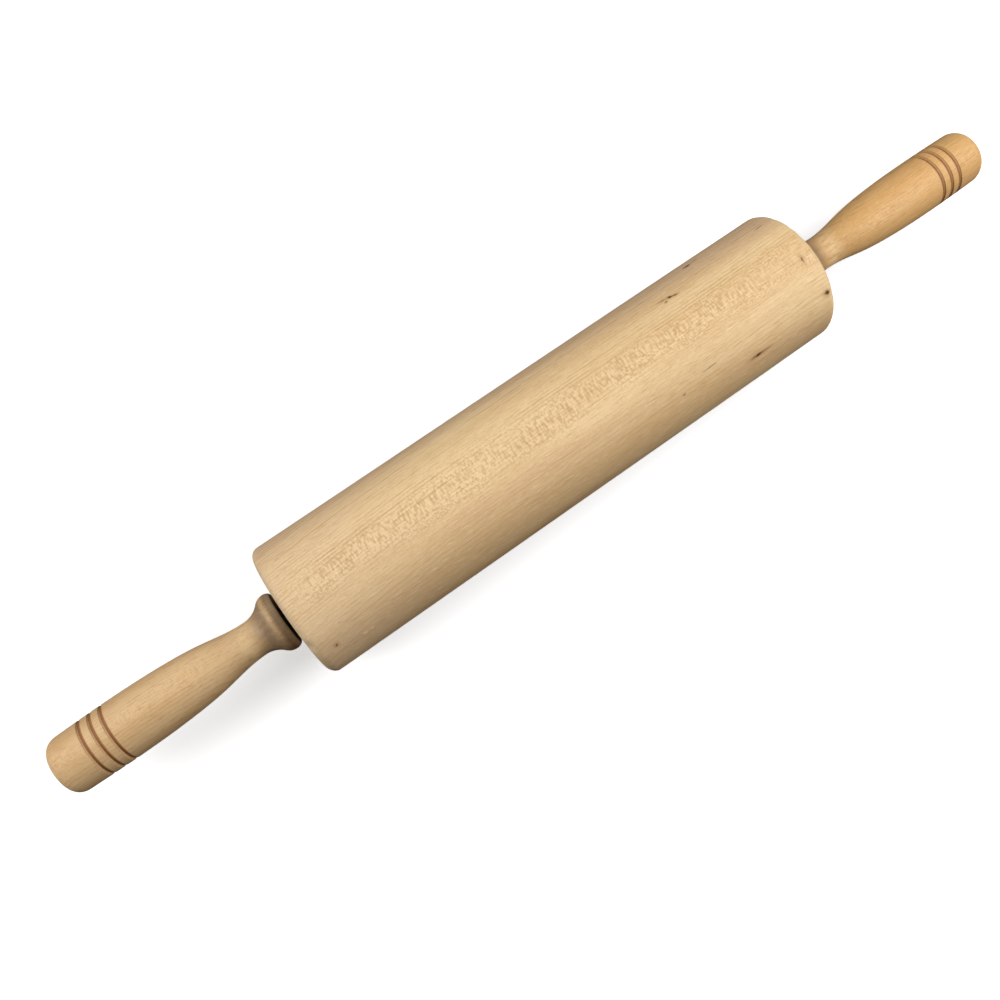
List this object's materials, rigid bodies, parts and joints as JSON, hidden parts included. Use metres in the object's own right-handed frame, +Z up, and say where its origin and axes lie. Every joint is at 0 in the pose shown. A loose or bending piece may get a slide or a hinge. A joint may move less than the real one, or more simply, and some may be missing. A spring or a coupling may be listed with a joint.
{
  "type": "rolling pin",
  "caption": "Wooden rolling pin: a plain cylindrical barrel turns on ball bearings round a steel rod, between two turned handles with ringed ends.",
  "frame": {"origin": "under the middle of the barrel, on the surface that the pin lies on", "axes": "+X along the pin from the left handle to the right handle, +Z up"},
  "size_m": [0.553, 0.0698, 0.0698],
  "materials": {
    "barrel_wood": "bare sanded maple",
    "handle_wood": "satin lacquered maple",
    "zinc_steel": "zinc plated",
    "bearing_steel": "ground",
    "cage_steel": "pressed sheet"
  },
  "bodies": {
    "axle": {"axle_rod": "zinc_steel", "left_handle": "handle_wood", "left_handle_plug": "handle_wood", "left_nut": "zinc_steel", "left_washer": "zinc_steel", "left_spacer": "zinc_steel", "left_bearing_inner_ring": "bearing_steel", "right_handle": "handle_wood", "right_handle_plug": "handle_wood", "right_nut": "zinc_steel", "right_washer": "zinc_steel", "right_spacer": "zinc_steel", "right_bearing_inner_ring": "bearing_steel"},
    "barrel": {"barrel": "barrel_wood", "left_bearing_outer_ring": "bearing_steel", "left_bearing_inside_shield": "cage_steel", "left_bearing_outside_shield": "cage_steel", "right_bearing_outer_ring": "bearing_steel", "right_bearing_inside_shield": "cage_steel", "right_bearing_outside_shield": "cage_steel"},
    "left_ball_set": {"left_bearing_balls": "bearing_steel", "left_bearing_cage": "cage_steel"},
    "right_ball_set": {"right_bearing_balls": "bearing_steel", "right_bearing_cage": "cage_steel"}
  },
  "joints": [
    {"name": "barrel_spin", "type": "hinge", "parent": "axle", "child": "barrel", "pos_m": [0, 0, 0.03492], "axis": [1, 0, 0], "continuous": true},
    {"name": "left_ball_orbit", "type": "hinge", "parent": "axle", "child": "left_ball_set", "pos_m": [-0.1479, 0, 0.03492], "axis": [1, 0, 0], "continuous": true},
    {"name": "right_ball_orbit", "type": "hinge", "parent": "axle", "child": "right_ball_set", "pos_m": [0.1479, 0, 0.03492], "axis": [1, 0, 0], "continuous": true}
  ],
  "couplings": [
    {"joint": "left_ball_orbit", "follows": "barrel_spin", "ratio": 0.63227},
    {"joint": "right_ball_orbit", "follows": "barrel_spin", "ratio": 0.63227}
  ]
}
